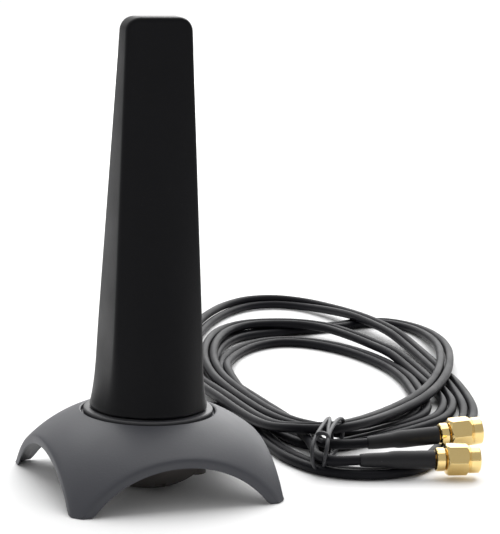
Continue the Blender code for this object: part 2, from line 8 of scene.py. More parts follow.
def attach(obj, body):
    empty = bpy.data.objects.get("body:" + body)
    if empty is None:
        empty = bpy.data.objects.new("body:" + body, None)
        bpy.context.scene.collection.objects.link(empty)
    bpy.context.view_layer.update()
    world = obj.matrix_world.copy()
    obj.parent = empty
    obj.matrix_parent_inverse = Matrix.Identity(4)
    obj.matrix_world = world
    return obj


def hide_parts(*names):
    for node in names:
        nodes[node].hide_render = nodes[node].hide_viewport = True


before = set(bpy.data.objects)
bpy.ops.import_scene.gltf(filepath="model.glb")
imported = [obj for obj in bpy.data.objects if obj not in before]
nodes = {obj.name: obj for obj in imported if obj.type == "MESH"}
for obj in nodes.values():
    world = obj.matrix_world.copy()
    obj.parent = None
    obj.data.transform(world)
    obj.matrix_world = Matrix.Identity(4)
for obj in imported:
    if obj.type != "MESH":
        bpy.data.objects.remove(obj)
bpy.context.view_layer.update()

mm = 0.001
weld = 0.000002          # metres, points closer than this are merged
scene = bpy.context.scene
print("frame loaded,", len(nodes), "nodes")


# camera
cameraSet = {
    "place": (-0.18982, -0.55899, 0.16958),
    "aim": (0.02432, -0.00948, 0.0594),
    "lens": 163.5,
    "roll": 1.68,        # degrees
}


def makeCamera(s):
    data = bpy.data.cameras.new("camera")
    data.lens = s["lens"]
    data.sensor_width = 36.0
    data.sensor_fit = "HORIZONTAL"
    cam = bpy.data.objects.new("camera", data)
    scene.collection.objects.link(cam)
    back = (Vector(s["place"]) - Vector(s["aim"])).normalized()
    right = Vector((0, 0, 1)).cross(back).normalized()
    up = back.cross(right)
    roll = math.radians(s["roll"])
    x = right * math.cos(roll) + up * math.sin(roll)
    y = up * math.cos(roll) - right * math.sin(roll)
    turn = Matrix((x, y, back)).transposed().to_4x4()
    cam.matrix_world = Matrix.Translation(s["place"]) @ turn
    data.clip_start = 0.01
    data.clip_end = 20.0
    scene.camera = cam


makeCamera(cameraSet)
print("camera placed")


# shader groups, each built once and used in many finishes
def newGroup(name, inputs, outputs):
    group = bpy.data.node_groups.new(name, "ShaderNodeTree")
    for label, kind, value in inputs:
        made = group.interface.new_socket(name=label, in_out="INPUT", socket_type=kind)
        made.default_value = value
    for label, kind in outputs:
        group.interface.new_socket(name=label, in_out="OUTPUT", socket_type=kind)
    inside = group.nodes.new("NodeGroupInput")
    outside = group.nodes.new("NodeGroupOutput")
    return group, inside, outside


def addNode(tree, kind, values=None, **settings):
    node = tree.nodes.new("ShaderNode" + kind)
    for key, value in settings.items():
        setattr(node, key, value)
    for key, value in (values or {}).items():
        node.inputs[key].default_value = value
    return node


def mathNode(tree, operation, a, b):
    node = addNode(tree, "Math", operation=operation)
    for index, value in enumerate((a, b)):
        if isinstance(value, (int, float)):
            node.inputs[index].default_value = value
        else:
            tree.links.new(value, node.inputs[index])
    return node.outputs[0]


def makeGrainGroup():
    # fine moulded grain: height for the bump and a slow mottling for roughness
    group, inside, outside = newGroup(
        "moulded grain",
        [("Vector", "NodeSocketVector", (0, 0, 0)), ("Grain Scale", "NodeSocketFloat", 900.0),
         ("Mottle Scale", "NodeSocketFloat", 60.0), ("Roughness Low", "NodeSocketFloat", 0.4),
         ("Roughness High", "NodeSocketFloat", 0.5)],
        [("Height", "NodeSocketFloat"), ("Roughness", "NodeSocketFloat"),
         ("Mottle", "NodeSocketFloat")])
    link = group.links.new
    grain = addNode(group, "TexNoise", {"Detail": 3.0, "Roughness": 0.6})
    mottle = addNode(group, "TexNoise", {"Detail": 4.0, "Roughness": 0.55})
    link(inside.outputs["Vector"], grain.inputs["Vector"])
    link(inside.outputs["Grain Scale"], grain.inputs["Scale"])
    link(inside.outputs["Vector"], mottle.inputs["Vector"])
    link(inside.outputs["Mottle Scale"], mottle.inputs["Scale"])
    spread = addNode(group, "MapRange", {"From Min": 0.3, "From Max": 0.7})
    link(mottle.outputs[0], spread.inputs["Value"])
    link(inside.outputs["Roughness Low"], spread.inputs["To Min"])
    link(inside.outputs["Roughness High"], spread.inputs["To Max"])
    link(grain.outputs[0], outside.inputs["Height"])
    link(spread.outputs[0], outside.inputs["Roughness"])
    link(mottle.outputs[0], outside.inputs["Mottle"])
    return group


def makeDustGroup():
    # sparse pale specks and a faint bloom
    group, inside, outside = newGroup(
        "dust specks",
        [("Vector", "NodeSocketVector", (0, 0, 0)), ("Scale", "NodeSocketFloat", 700.0),
         ("Amount", "NodeSocketFloat", 0.1)],
        [("Mask", "NodeSocketFloat")])
    link = group.links.new
    cells = addNode(group, "TexVoronoi", {"Randomness": 1.0})
    link(inside.outputs["Vector"], cells.inputs["Vector"])
    link(inside.outputs["Scale"], cells.inputs["Scale"])
    speck = addNode(group, "MapRange", {"From Min": 0.16, "From Max": 0.05, "To Min": 0.0,
                                        "To Max": 1.0})
    link(cells.outputs["Distance"], speck.inputs["Value"])
    cloud = addNode(group, "TexNoise", {"Scale": 45.0, "Detail": 2.0})
    link(inside.outputs["Vector"], cloud.inputs["Vector"])
    patch = addNode(group, "MapRange", {"From Min": 0.52, "From Max": 0.68})
    link(cloud.outputs[0], patch.inputs["Value"])
    both = mathNode(group, "MULTIPLY", speck.outputs[0], patch.outputs[0])
    amount = mathNode(group, "MULTIPLY", both, inside.outputs["Amount"])
    link(amount, outside.inputs["Mask"])
    return group


def makeDrawnGroup():
    # fine lines round a turned or drawn metal piece
    group, inside, outside = newGroup(
        "turned lines",
        [("Vector", "NodeSocketVector", (0, 0, 0)), ("Scale", "NodeSocketFloat", 900.0),
         ("Roughness Low", "NodeSocketFloat", 0.15), ("Roughness High", "NodeSocketFloat", 0.3)],
        [("Height", "NodeSocketFloat"), ("Roughness", "NodeSocketFloat"),
         ("Tone", "NodeSocketFloat")])
    link = group.links.new
    stretch = addNode(group, "Mapping", {"Scale": (6.0, 0.5, 0.5)})
    link(inside.outputs["Vector"], stretch.inputs["Vector"])
    lines = addNode(group, "TexNoise", {"Detail": 2.0, "Roughness": 0.5})
    link(stretch.outputs[0], lines.inputs["Vector"])
    link(inside.outputs["Scale"], lines.inputs["Scale"])
    tone = addNode(group, "TexNoise", {"Scale": 220.0, "Detail": 3.0})
    link(inside.outputs["Vector"], tone.inputs["Vector"])
    spread = addNode(group, "MapRange", {"From Min": 0.35, "From Max": 0.65})
    link(tone.outputs[0], spread.inputs["Value"])
    link(inside.outputs["Roughness Low"], spread.inputs["To Min"])
    link(inside.outputs["Roughness High"], spread.inputs["To Max"])
    link(lines.outputs[0], outside.inputs["Height"])
    link(spread.outputs[0], outside.inputs["Roughness"])
    link(tone.outputs[0], outside.inputs["Tone"])
    return group


grainGroup = makeGrainGroup()
dustGroup = makeDustGroup()
drawnGroup = makeDrawnGroup()


# finishes
plasticFinishes = {
    # name: colour, second colour, roughness low/high, grain scale, bump, dust, specular
    "towerBlack": {"colour": (0.0036, 0.0036, 0.0045), "other": (0.0055, 0.0055, 0.0066),
                   "rough": (0.36, 0.46), "grain": 1500.0, "bump": 0.14, "dust": 0.03,
                   "specular": 0.10},
    "domeGrey": {"colour": (0.033, 0.034, 0.042), "other": (0.043, 0.045, 0.054),
                 "rough": (0.42, 0.52), "grain": 1700.0, "bump": 0.16, "dust": 0.06,
                 "specular": 0.5},
    "bowlGrey": {"colour": (0.050, 0.045, 0.042), "other": (0.066, 0.060, 0.056),
                 "rough": (0.55, 0.68), "grain": 1300.0, "bump": 0.14, "dust": 0.10,
                 "specular": 0.4},
    "footBlack": {"colour": (0.022, 0.022, 0.025), "other": (0.032, 0.032, 0.036),
                  "rough": (0.34, 0.44), "grain": 1500.0, "bump": 0.08, "dust": 0.05,
                  "specular": 0.5},
    "leadBlack": {"colour": (0.005, 0.005, 0.0068), "other": (0.008, 0.008, 0.0105),
                  "rough": (0.40, 0.52), "grain": 1100.0, "bump": 0.10, "dust": 0.08,
                  "specular": 0.11},
    "shrinkBlack": {"colour": (0.007, 0.007, 0.008), "other": (0.012, 0.012, 0.014),
                    "rough": (0.50, 0.62), "grain": 1600.0, "bump": 0.20, "dust": 0.08,
                    "specular": 0.28},
    "rubberBlack": {"colour": (0.018, 0.018, 0.018), "other": (0.030, 0.030, 0.030),
                    "rough": (0.62, 0.78), "grain": 1400.0, "bump": 0.20, "dust": 0.20,
                    "specular": 0.35},
    "tieBlack": {"colour": (0.016, 0.016, 0.020), "other": (0.024, 0.024, 0.028),
                 "rough": (0.34, 0.50), "grain": 1500.0, "bump": 0.15, "dust": 0.08,
                 "specular": 0.5},
    "boardGreen": {"colour": (0.020, 0.105, 0.040), "other": (0.030, 0.140, 0.055),
                   "rough": (0.30, 0.42), "grain": 2200.0, "bump": 0.10, "dust": 0.02,
                   "specular": 0.5},
    "carrierWhite": {"colour": (0.60, 0.60, 0.57), "other": (0.68, 0.68, 0.65),
                     "rough": (0.42, 0.55), "grain": 1300.0, "bump": 0.10, "dust": 0.0,
                     "specular": 0.5},
    "ptfeWhite": {"colour": (0.82, 0.82, 0.80), "other": (0.90, 0.90, 0.88),
                  "rough": (0.48, 0.60), "grain": 2000.0, "bump": 0.06, "dust": 0.0,
                  "specular": 0.5},
    "sealRed": {"colour": (0.40, 0.050, 0.035), "other": (0.50, 0.070, 0.050),
                "rough": (0.50, 0.64), "grain": 1800.0, "bump": 0.10, "dust": 0.0,
                "specular": 0.5},
}

metalFinishes = {
    "goldPlate": {"colour": (0.93, 0.72, 0.33), "other": (0.86, 0.63, 0.26),
                  "rough": (0.13, 0.24), "lines": 700.0, "bump": 0.04},
    "screwSteel": {"colour": (0.50, 0.50, 0.52), "other": (0.40, 0.40, 0.42),
                   "rough": (0.28, 0.44), "lines": 800.0, "bump": 0.08},
    "nickel": {"colour": (0.60, 0.58, 0.55), "other": (0.52, 0.50, 0.47),
               "rough": (0.20, 0.32), "lines": 500.0, "bump": 0.05},
    "foilCopper": {"colour": (0.80, 0.40, 0.22), "other": (0.66, 0.31, 0.16),
                   "rough": (0.26, 0.42), "lines": 900.0, "bump": 0.05},
}


def startMaterial(name):
    made = bpy.data.materials.new(name)
    made.use_nodes = True
    tree = made.node_tree
    shader = tree.nodes["Principled BSDF"]
    where = addNode(tree, "TexCoord")
    return made, tree, shader, where.outputs["Object"]


def groupNode(tree, group, place, values):
    node = tree.nodes.new("ShaderNodeGroup")
    node.node_tree = group
    tree.links.new(place, node.inputs["Vector"])
    for key, value in values.items():
        node.inputs[key].default_value = value
    return node


def mixColours(tree, factor, a, b):
    node = addNode(tree, "Mix", data_type="RGBA")
    tree.links.new(factor, node.inputs["Factor"])
    for socket, value in ((node.inputs[6], a), (node.inputs[7], b)):
        if isinstance(value, tuple):
            socket.default_value = (*value, 1.0)
        else:
            tree.links.new(value, socket)
    return node.outputs[2]


def addBump(tree, shader, height, strength, depth):
    bump = addNode(tree, "Bump", {"Strength": strength, "Distance": depth})
    tree.links.new(height, bump.inputs["Height"])
    tree.links.new(bump.outputs[0], shader.inputs["Normal"])


def makePlastic(name, f):
    made, tree, shader, place = startMaterial(name)
    grain = groupNode(tree, grainGroup, place, {
        "Grain Scale": f["grain"], "Roughness Low": f["rough"][0],
        "Roughness High": f["rough"][1]})
    dust = groupNode(tree, dustGroup, place, {"Amount": f["dust"]})
    base = mixColours(tree, grain.outputs["Mottle"], f["colour"], f["other"])
    dusty = mixColours(tree, dust.outputs["Mask"], base, (0.35, 0.35, 0.34))
    tree.links.new(dusty, shader.inputs["Base Color"])
    tree.links.new(grain.outputs["Roughness"], shader.inputs["Roughness"])
    shader.inputs["Specular IOR Level"].default_value = f["specular"]
    addBump(tree, shader, grain.outputs["Height"], f["bump"], 0.0002)
    return made


def makeMetal(name, f):
    made, tree, shader, place = startMaterial(name)
    drawn = groupNode(tree, drawnGroup, place, {
        "Scale": f["lines"], "Roughness Low": f["rough"][0], "Roughness High": f["rough"][1]})
    base = mixColours(tree, drawn.outputs["Tone"], f["colour"], f["other"])
    tree.links.new(base, shader.inputs["Base Color"])
    tree.links.new(drawn.outputs["Roughness"], shader.inputs["Roughness"])
    shader.inputs["Metallic"].default_value = 1.0
    addBump(tree, shader, drawn.outputs["Height"], f["bump"], 0.0001)
    return made


finish = {name: makePlastic(name, f) for name, f in plasticFinishes.items()}
finish.update({name: makeMetal(name, f) for name, f in metalFinishes.items()})
print("finishes made:", len(finish))


# helpers for pieces
def addPiece(name, data, material, body, replaced=()):
    piece = bpy.data.objects.new(name, data)
    scene.collection.objects.link(piece)
    data.materials.clear()
    data.materials.append(finish[material])
    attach(piece, body)
    if replaced:
        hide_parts(*replaced)
    return piece


def meshFrom(bm, name, smoothAngle=35.0):
    mesh = bpy.data.meshes.new(name)
    bm.normal_update()
    limit = math.radians(smoothAngle)
    for face in bm.faces:
        face.smooth = True
    for edge in bm.edges:
        edge.smooth = len(edge.link_faces) == 2 and edge.calc_face_angle(0.0) < limit
    bm.to_mesh(mesh)
    bm.free()
    return mesh


def ringOf(bm, points):
    # a circle of edges whose points are then put where the section says
    made = bmesh.ops.create_circle(bm, segments=len(points), radius=1.0)["verts"]
    for vert, place in zip(made, points):
        vert.co = Vector(place) * mm
    return list({edge for vert in made for edge in vert.link_edges})


def loftRings(bm, sections, closed=False):
    rings = [ringOf(bm, points) for points in sections]
    pairs = list(zip(rings, rings[1:]))
    if closed:
        pairs.append((rings[-1], rings[0]))
    for lower, upper in pairs:
        bmesh.ops.bridge_loops(bm, edges=lower + upper)
    if not closed:
        for ring in (rings[0], rings[-1]):
            bmesh.ops.contextual_create(bm, geom=ring)
    bmesh.ops.recalc_face_normals(bm, faces=bm.faces)


def spinProfile(bm, profile, steps, closed=True):
    # profile of (radius, height) in mm, turned about Z; a closed one makes a ring
    verts = [bm.verts.new((r * mm, 0.0, z * mm)) for r, z in profile]
    edges = [bm.edges.new(pair) for pair in zip(verts, verts[1:])]
    if closed:
        edges.append(bm.edges.new((verts[-1], verts[0])))
    bmesh.ops.spin(bm, geom=verts + edges, cent=(0, 0, 0), axis=(0, 0, 1), dvec=(0, 0, 0),
                   angle=math.tau, steps=steps, use_merge=True, use_duplicate=False)
    bmesh.ops.remove_doubles(bm, verts=bm.verts, dist=weld)
    bmesh.ops.recalc_face_normals(bm, faces=bm.faces)


def cutWith(bm, cutters, name):
    # join or subtract each helper mesh, apply the result and give back a new bmesh
    mesh = bpy.data.meshes.new(name)
    bm.to_mesh(mesh)
    bm.free()
    target = bpy.data.objects.new(name, mesh)
    scene.collection.objects.link(target)
    helpers = []
    for cutter, operation in cutters:
        helper = bpy.data.objects.new(name + " cutter", cutter)
        scene.collection.objects.link(helper)
        helpers.append(helper)
        modifier = target.modifiers.new("cut", "BOOLEAN")
        modifier.object = helper
        modifier.operation = operation
        modifier.solver = "EXACT"
    graph = bpy.context.evaluated_depsgraph_get()
    graph.update()
    result = bpy.data.meshes.new_from_object(target.evaluated_get(graph))
    for helper in helpers + [target]:
        bpy.data.objects.remove(helper, do_unlink=True)
    fresh = bmesh.new()
    fresh.from_mesh(result)
    bmesh.ops.remove_doubles(fresh, verts=fresh.verts, dist=weld)
    return fresh


def asMesh(bm, name):
    mesh = bpy.data.meshes.new(name)
    bm.to_mesh(mesh)
    bm.free()
    return mesh


# the two leads
leads = {
    "radius": 1.4,
    "half": 1.46,         # from the pair's middle line to each lead
    "clear": 0.04,        # least gap to the surface it lies on
    "steps": 5,
}

# start of each lead, out of its strain relief and down to the surface, mm
leadStart = {
    "a": [(3.4, 13, 7.4), (3.4, 21, 7.4), (3.4, 30, 7.3), (4.2, 36, 6.2), (7.4, 43, 3.6),
          (14, 51, 1.8), (23, 58.4, 1.5), (32.4, 62.6, 1.5), (40.4, 62.2, 1.5),
          (44.8, 57.4, 1.5)],
    "b": [(-3.4, 13, 7.4), (-3.4, 21, 7.4), (-3.4, 30, 7.3), (-2.4, 37, 6.2), (1.8, 45.4, 3.6),
          (9.2, 55.2, 1.8), (20, 64.4, 1.5), (31.6, 69.6, 1.5), (42.2, 68.2, 1.5),
          (47.8, 59.8, 1.5)],
}

# middle line of the pair of leads, mm: x, y, z and the pair's roll in degrees
firstTurn = [(46.4, 46, 1.5), (45.6, 33, 1.5), (44.8, 20, 1.5), (45.2, 6, 1.5),
             (49.2, -6.4, 1.5), (57, -12.8, 1.5), (66, -14, 1.5), (75, -11, 1.5),
             (83, -3.6, 1.5), (90.5, 5, 1.5), (99, 15, 1.5), (107.5, 26, 1.5),
             (115, 38, 1.5), (120.5, 50, 1.5), (125, 64, 1.5), (128.4, 77, 1.5),
             (131.4, 92, 1.5), (134.4, 109, 1.7), (136.3, 125, 2.6), (136.8, 140, 4.0),
             (136.2, 155, 4.4), (135, 171, 4.1), (132.6, 188, 3.0, -12), (128, 201, 2.3, -28),
             (119.5, 207.5, 2.4, -38), (109, 207, 2.5, -42), (98.6, 200.4, 2.5, -44),
             (89, 190, 2.5, -44), (80, 177, 2.5, -44), (70, 159, 2.5, -42),
             (61, 138.6, 2.4, -36), (54, 117, 2.3, -24), (49.6, 97, 2.6, -10),
             (47.2, 80, 3.8)]
secondTurn = [(46.4, 66, 4.4), (46.2, 52, 4.4), (46.4, 38, 4.6), (47.4, 26, 5.6),
              (51, 17, 7.2), (57, 13.4, 7.6), (65, 15.4, 7.2), (76.5, 23.4, 6.4),
              (90.5, 36, 5.4), (104, 50, 4.6), (116, 64.6, 4.4), (127, 81, 4.4),
              (136.4, 98.6, 4.4), (144.6, 118, 3.8), (150.6, 140, 2.5), (151.6, 157, 1.6),
              (146.4, 167, 1.5), (137, 168.8, 1.5), (125.6, 165.6, 1.5), (114, 163.6, 1.5),
              (103, 162.4, 1.5), (92, 160.6, 1.5), (83, 156, 1.5), (74.5, 146, 1.5),
              (66.4, 131, 1.5), (59.6, 113, 1.5), (55, 94, 1.5)]
thirdTurn = [(53, 76, 1.5), (52.4, 60, 1.5), (52.2, 45, 1.5), (52.6, 31, 1.5),
             (55.4, 20, 1.5), (61.6, 16.2, 1.5), (70.6, 18.6, 1.5), (81.4, 23, 1.5),
             (94, 29.2, 1.5), (103.4, 35.6, 1.5), (110.4, 44, 1.5), (116, 54.6, 1.5),
             (119.6, 67.6, 1.5), (121.8, 82, 1.7), (123, 96, 2.7), (123, 110, 4.2),
             (121.8, 124, 4.4), (120, 139, 4.4), (116.6, 152, 4.4), (110, 160, 4.4),
             (101.4, 163.4, 4.4), (91.6, 163.4, 4.4), (83, 158.6, 4.4), (74.6, 148.6, 4.4),
             (66.2, 132.6, 4.4), (59.4, 114, 4.4), (54.8, 94, 4.4)]
fourthTurn = [(53, 76, 4.4), (52.6, 60, 4.4), (53, 45, 4.4), (55.2, 33.4, 4.4),
              (60, 26, 4.2), (67, 24, 2.8), (74.6, 26.6, 1.6), (82.6, 30.6, 1.5),
              (91, 34.8, 1.5), (98.6, 40.6, 1.5), (104.6, 48.6, 1.5), (109, 59, 1.5),
              (113, 72, 1.5), (116.6, 86, 1.5), (118.4, 101, 1.5), (117.6, 116, 1.5),
              (114.6, 129, 1.5), (109.8, 138.6, 1.5), (103.4, 145, 1.5), (94.6, 147, 1.5),
              (84.4, 142.4, 1.5), (74.6, 132.6, 1.5), (66.8, 119.6, 1.6, 30),
              (61.8, 105, 2.6, 75), (59.2, 90, 2.6, 120), (58.6, 75, 1.6, 160)]
lastRun = [(58.6, 60, 1.5, 180), (58.6, 46, 1.5, 180), (58.2, 35, 1.6, 180),
           (57, 26, 2.8, 180), (54.8, 17, 4.3, 180)]
leadEnd = {
    "a": [(55, 9.4, 4.5), (59.4, 5.4, 4.7)],
    "b": [(50.8, 6, 4.5), (48.4, -2, 4.5), (49.8, -10.2, 4.9)],
}
plugs = {
    "a": {"start": (66.5, 4.1, 4.9), "turn": -9.2, "tilt": 5.0},
    "b": {"start": (56.6, -13.3, 5.3), "turn": -12.7, "tilt": 0.0},
}
sleeveInside = (0.0, 5.0, 10.0)      # the last points lie along the plug's axis, mm


def plugDirection(letter):
    turn, tilt = (math.radians(plugs[letter][key]) for key in ("turn", "tilt"))
    return Vector((math.cos(turn) * math.cos(tilt), math.sin(turn) * math.cos(tilt),
                   math.sin(tilt)))


def pairPoints(side):
    middle = firstTurn + secondTurn + thirdTurn + fourthTurn + lastRun
    points = []
    for index, entry in enumerate(middle):
        here = Vector(entry[:3])
        roll = math.radians(entry[3]) if len(entry) > 3 else 0.0
        before = Vector(middle[max(index - 1, 0)][:3])
        after = Vector(middle[min(index + 1, len(middle) - 1)][:3])
        along = after - before
        left = Vector((-along.y, along.x, 0.0)).normalized()
        offset = left * math.cos(roll) + Vector((0, 0, 1)) * math.sin(roll)
        points.append(here + offset * side * leads["half"])
    return points


def smoothLine(points, steps):
    ends = [2 * points[0] - points[1]] + points + [2 * points[-1] - points[-2]]
    line = [points[0]]
    for p, q, r, s in zip(ends, ends[1:], ends[2:], ends[3:]):
        for step in range(1, steps + 1):
            t = step / steps
            line.append(0.5 * (2 * q + (r - p) * t + (2 * p - 5 * q + 4 * r - s) * t ** 2
                               + (3 * q - p - 3 * r + s) * t ** 3))
    return line


def lineLength(points):
    return sum((b - a).length for a, b in zip(points, points[1:]))


def addTube(name, points, radius, material, replaced, around=3):
    curve = bpy.data.curves.new(name, "CURVE")
    curve.dimensions = "3D"
    curve.bevel_depth = radius * mm
    curve.bevel_resolution = around
    curve.use_fill_caps = True
    spline = curve.splines.new("POLY")
    spline.points.add(len(points) - 1)
    for point, place in zip(spline.points, points):
        point.co = (*(place * mm), 1.0)
    spline.use_smooth = True
    return addPiece(name, curve, material, "base", replaced)


for letter, side in (("a", -1.0), ("b", 1.0)):
    points = [Vector(p) for p in leadStart[letter]] + pairPoints(side)
    points += [Vector(p) for p in leadEnd[letter]]
    start = Vector(plugs[letter]["start"])
    points += [start + plugDirection(letter) * along for along in sleeveInside]
    line = smoothLine(points, leads["steps"])
    for place in line:
        place.z = max(place.z, leads["radius"] + leads["clear"])
    lineLength(line) * mm
    replaced = [f"lead_{letter}_run_out", f"lead_{letter}_run_in"]
    if letter == "a":
        replaced.append("lead_coil")
    addTube("lead_" + letter, line, leads["radius"], "leadBlack",
                                 replaced)


# twist tie round the bundle
tie = {
    "radius": 0.55,
    "middle": (54.6, 4.0),
    "across": (0.50, 0.866),     # plan direction the loop spreads in
    "along": (0.866, -0.50),
    "wide": 15.0,                # half width of the loop
    "low": 0.0,
    "high": 11.2,
    "turns": 2.2,
    "pitch": 4.4,
    "uneven": 0.5,
    "sway": 1.0,
    "tail": 3.2,
    "curl": 250.0,               # degrees
    "tailLean": 0.25,
    "stepsPerTurn": 22,
    "startAngle": 70.0,
    "squareness": 0.75,          # 1 gives a plain ellipse
    "clear": 0.03,
}


def tiePoints(t):
    # a flattened loop wound a little over twice, ending in a short curled tail
    across = Vector((*t["across"], 0.0))
    along = Vector((*t["along"], 0.0))
    middle = Vector((*t["middle"], (t["low"] + t["high"]) / 2.0))
    half = (t["high"] - t["low"]) / 2.0
    total = int(t["stepsPerTurn"] * t["turns"])
    square = t["squareness"]
    points = []
    for step in range(total + 1):
        angle = math.tau * step / t["stepsPerTurn"] + math.radians(t["startAngle"])
        wave = t["uneven"] * math.sin(2.3 * angle + 0.7)
        c, s = math.cos(angle), math.sin(angle)
        wide = math.copysign(abs(c) ** square, c) * (t["wide"] + wave)
        tall = math.copysign(abs(s) ** square, s) * half
        drift = (step / total - 0.5) * t["pitch"] + t["sway"] * math.sin(1.6 * angle)
        points.append(middle + across * wide + Vector((0, 0, tall)) + along * drift)
    last = points[-1]
    for step in range(1, 9):          # the tail curls back over the loop's top
        curl = step / 8.0 * math.radians(t["curl"])
        size = t["tail"] * (1.0 - 0.35 * step / 8.0)
        lift = size * math.sin(curl) * 0.55
        points.append(last + along * size * (1.0 - math.cos(curl)) * -0.7
                      + across * t["tailLean"] * step + Vector((0, 0, lift)))
    return points


tieLine = smoothLine(tiePoints(tie), 3)
for place in tieLine:
    place.z = max(place.z, tie["radius"] + tie["clear"])
addTube("twist_tie_loops", tieLine, tie["radius"], "tieBlack", ["twist_tie"])
print("twist tie wound")


# tower shell
tower = {
    "bottom": 21.1, "top": 124.7, "skirt": 0.8, "circle": 16.0,
    "widthLow": 13.1, "widthHigh": 8.95,     # half widths between the upright edges
    "depthLow": 8.9, "depthHigh": 3.3,
    "topRounding": 3.6, "rim": 1.0, "wall": 1.5,
    "edge": 1.0, "edgeAtFoot": 3.2,
    "across": 18, "side": 9, "corner": 5,
}


def towerSection(t, height, inset=0.0):
    z = max(height, t["bottom"] + t["skirt"])
    share = (z - t["bottom"]) / (t["top"] - t["bottom"])
    x = t["widthLow"] + (t["widthHigh"] - t["widthLow"]) * share
    y = t["depthLow"] + (t["depthHigh"] - t["depthLow"]) * share
    frontBow = (t["circle"] - t["depthLow"]) * (1.0 - share) ** 1.6
    foot = max(0.0, 1.0 - (z - t["bottom"]) / 14.0)
    sideBow = 0.15 + (t["circle"] - t["widthLow"] - 0.15) * foot ** 2
    below = t["topRounding"] - (t["top"] - z)
    if below > 0.0:
        x -= t["topRounding"] - math.sqrt(max(0.0, t["topRounding"] ** 2 - below ** 2))
    below = t["rim"] - (t["top"] - z)
    if below > 0.0:
        y -= t["rim"] - math.sqrt(max(0.0, t["rim"] ** 2 - below ** 2))
    soft = max(0.0, 1.0 - (z - t["bottom"]) / 24.0)
    edge = t["edge"] + (t["edgeAtFoot"] - t["edge"]) * soft ** 1.5
    x -= inset
    y -= inset
    corners = [Vector((-x, -y)), Vector((x, -y)), Vector((x, y)), Vector((-x, y))]
    sides = []
    for turn in range(4):
        a, b = corners[turn], corners[(turn + 1) % 4]
        bow = frontBow if turn % 2 == 0 else sideBow
        count = t["across"] if turn % 2 == 0 else t["side"]
        run = b - a
        out = Vector((run.y, -run.x)).normalized()
        cut = min(edge / run.length, 0.3)
        line = []
        for step in range(count + 1):
            s = cut + (1.0 - 2.0 * cut) * step / count
            line.append(a + run * s + out * bow * 4.0 * s * (1.0 - s))
        sides.append(line)
    outline = []
    for turn in range(4):
        line, following = sides[turn], sides[(turn + 1) % 4]
        outline += line
        p, r = line[-1], following[0]
        d, e = (line[-1] - line[-2]).normalized(), (following[1] - following[0]).normalized()
        reach = (r - p).length * 0.62
        q = (p + d * reach + r - e * reach) / 2.0
        for step in range(1, t["corner"]):
            s = step / t["corner"]
            outline.append(p * (1 - s) ** 2 + q * 2 * s * (1 - s) + r * s ** 2)
    return [(point.x, point.y, height) for point in outline]


def makeTower(t):
    bm = bmesh.new()
    low, high = t["bottom"], t["top"]
    heights = [low + 0.25, low + t["skirt"], 22.8, 23.8, 25.0, 26.4, 28.0, 30.0, 32.5, 35.5, 39.0,
               44.0, 52.0, 62.0, 74.0, 88.0, 102.0, 112.0]
    heights += [high - t["topRounding"] * share
                for share in (1.0, 0.8, 0.6, 0.42, 0.28, 0.18, 0.1, 0.045, 0.012)]
    sections = [towerSection(t, low + 3.4, t["wall"] + 0.5),
                towerSection(t, low, t["wall"] + 0.5), towerSection(t, low, 0.2)]
    sections += [towerSection(t, z) for z in heights]
    sections.append(towerSection(t, high, 0.35))
    loftRings(bm, sections)
    return addPiece("tower_shell", meshFrom(bm, "tower_shell", 40.0), "towerBlack", "tower",
                    ["radome"])


makeTower(tower)
print("tower made")


# dome with four legs
dome = {
    "arcOut": 5.36, "arcDown": 14.88,        # the section's arc is centred here
    "arc": 37.33, "hollowArc": 35.7, "reach": 39.6,
    "corner": 29.1, "sideMiddle": 29.5, "tip": 3.0,
    # the rim's rounding from outside to inside: inset, lift and least height
    "rim": ((0.16, 0.02, 0.42), (0.0, -0.45, 0.22), (0.0, 0.4, 0.12), (0.12, 0.02, 0.0)),
    "lip": 0.55, "rows": 16, "hollowRows": 12,
    "seat": 17.9, "seatFloor": 18.8, "seatUnder": 17.3,
    "hubHole": 6.4, "hub": 9.2, "hubBottom": 14.5,
    "quarter": 44,                # points round each quarter
    "crowd": 1.7,                 # how much they crowd at the leg tips
}


def domeReach(d, angle):
    # how far out the plan goes, angle from the nearest leg's diagonal
    a = abs(angle)
    slope = 4.0 * (d["sideMiddle"] - d["corner"]) / (2.0 * d["corner"])
    halfCorner = math.radians(45.0) + math.atan(slope)
    middle = d["corner"] * math.sqrt(2.0) - d["tip"] / math.sin(halfCorner)
    swing = math.pi / 2.0 - halfCorner
    touch = math.atan2(d["tip"] * math.sin(swing), middle + d["tip"] * math.cos(swing))
    if a < touch:
        tip = middle * math.cos(a) + math.sqrt(d["tip"] ** 2 - (middle * math.sin(a)) ** 2)
        return min(tip, d["reach"])
    direction = math.radians(45.0) - a       # from the side's middle line
    x = 0.0
    for _ in range(30):
        y = d["corner"] + (d["sideMiddle"] - d["corner"]) * (1.0 - (x / d["corner"]) ** 2)
        x = y * math.tan(direction)
    return min(math.hypot(x, y), d["reach"])


def domePlan(d):
    plan = []
    for quarter in range(4):
        for step in range(d["quarter"]):
            s = 2.0 * step / d["quarter"] - 1.0
            off = math.copysign(abs(s) ** d["crowd"], s) * math.radians(45.0)
            plan.append((math.radians(45.0 + 90.0 * quarter) + off, domeReach(d, off)))
    return plan


def arcHeight(d, radius, arc):
    across = min(radius - d["arcOut"], arc)
    return max(0.0, math.sqrt(arc ** 2 - across ** 2) - d["arcDown"])


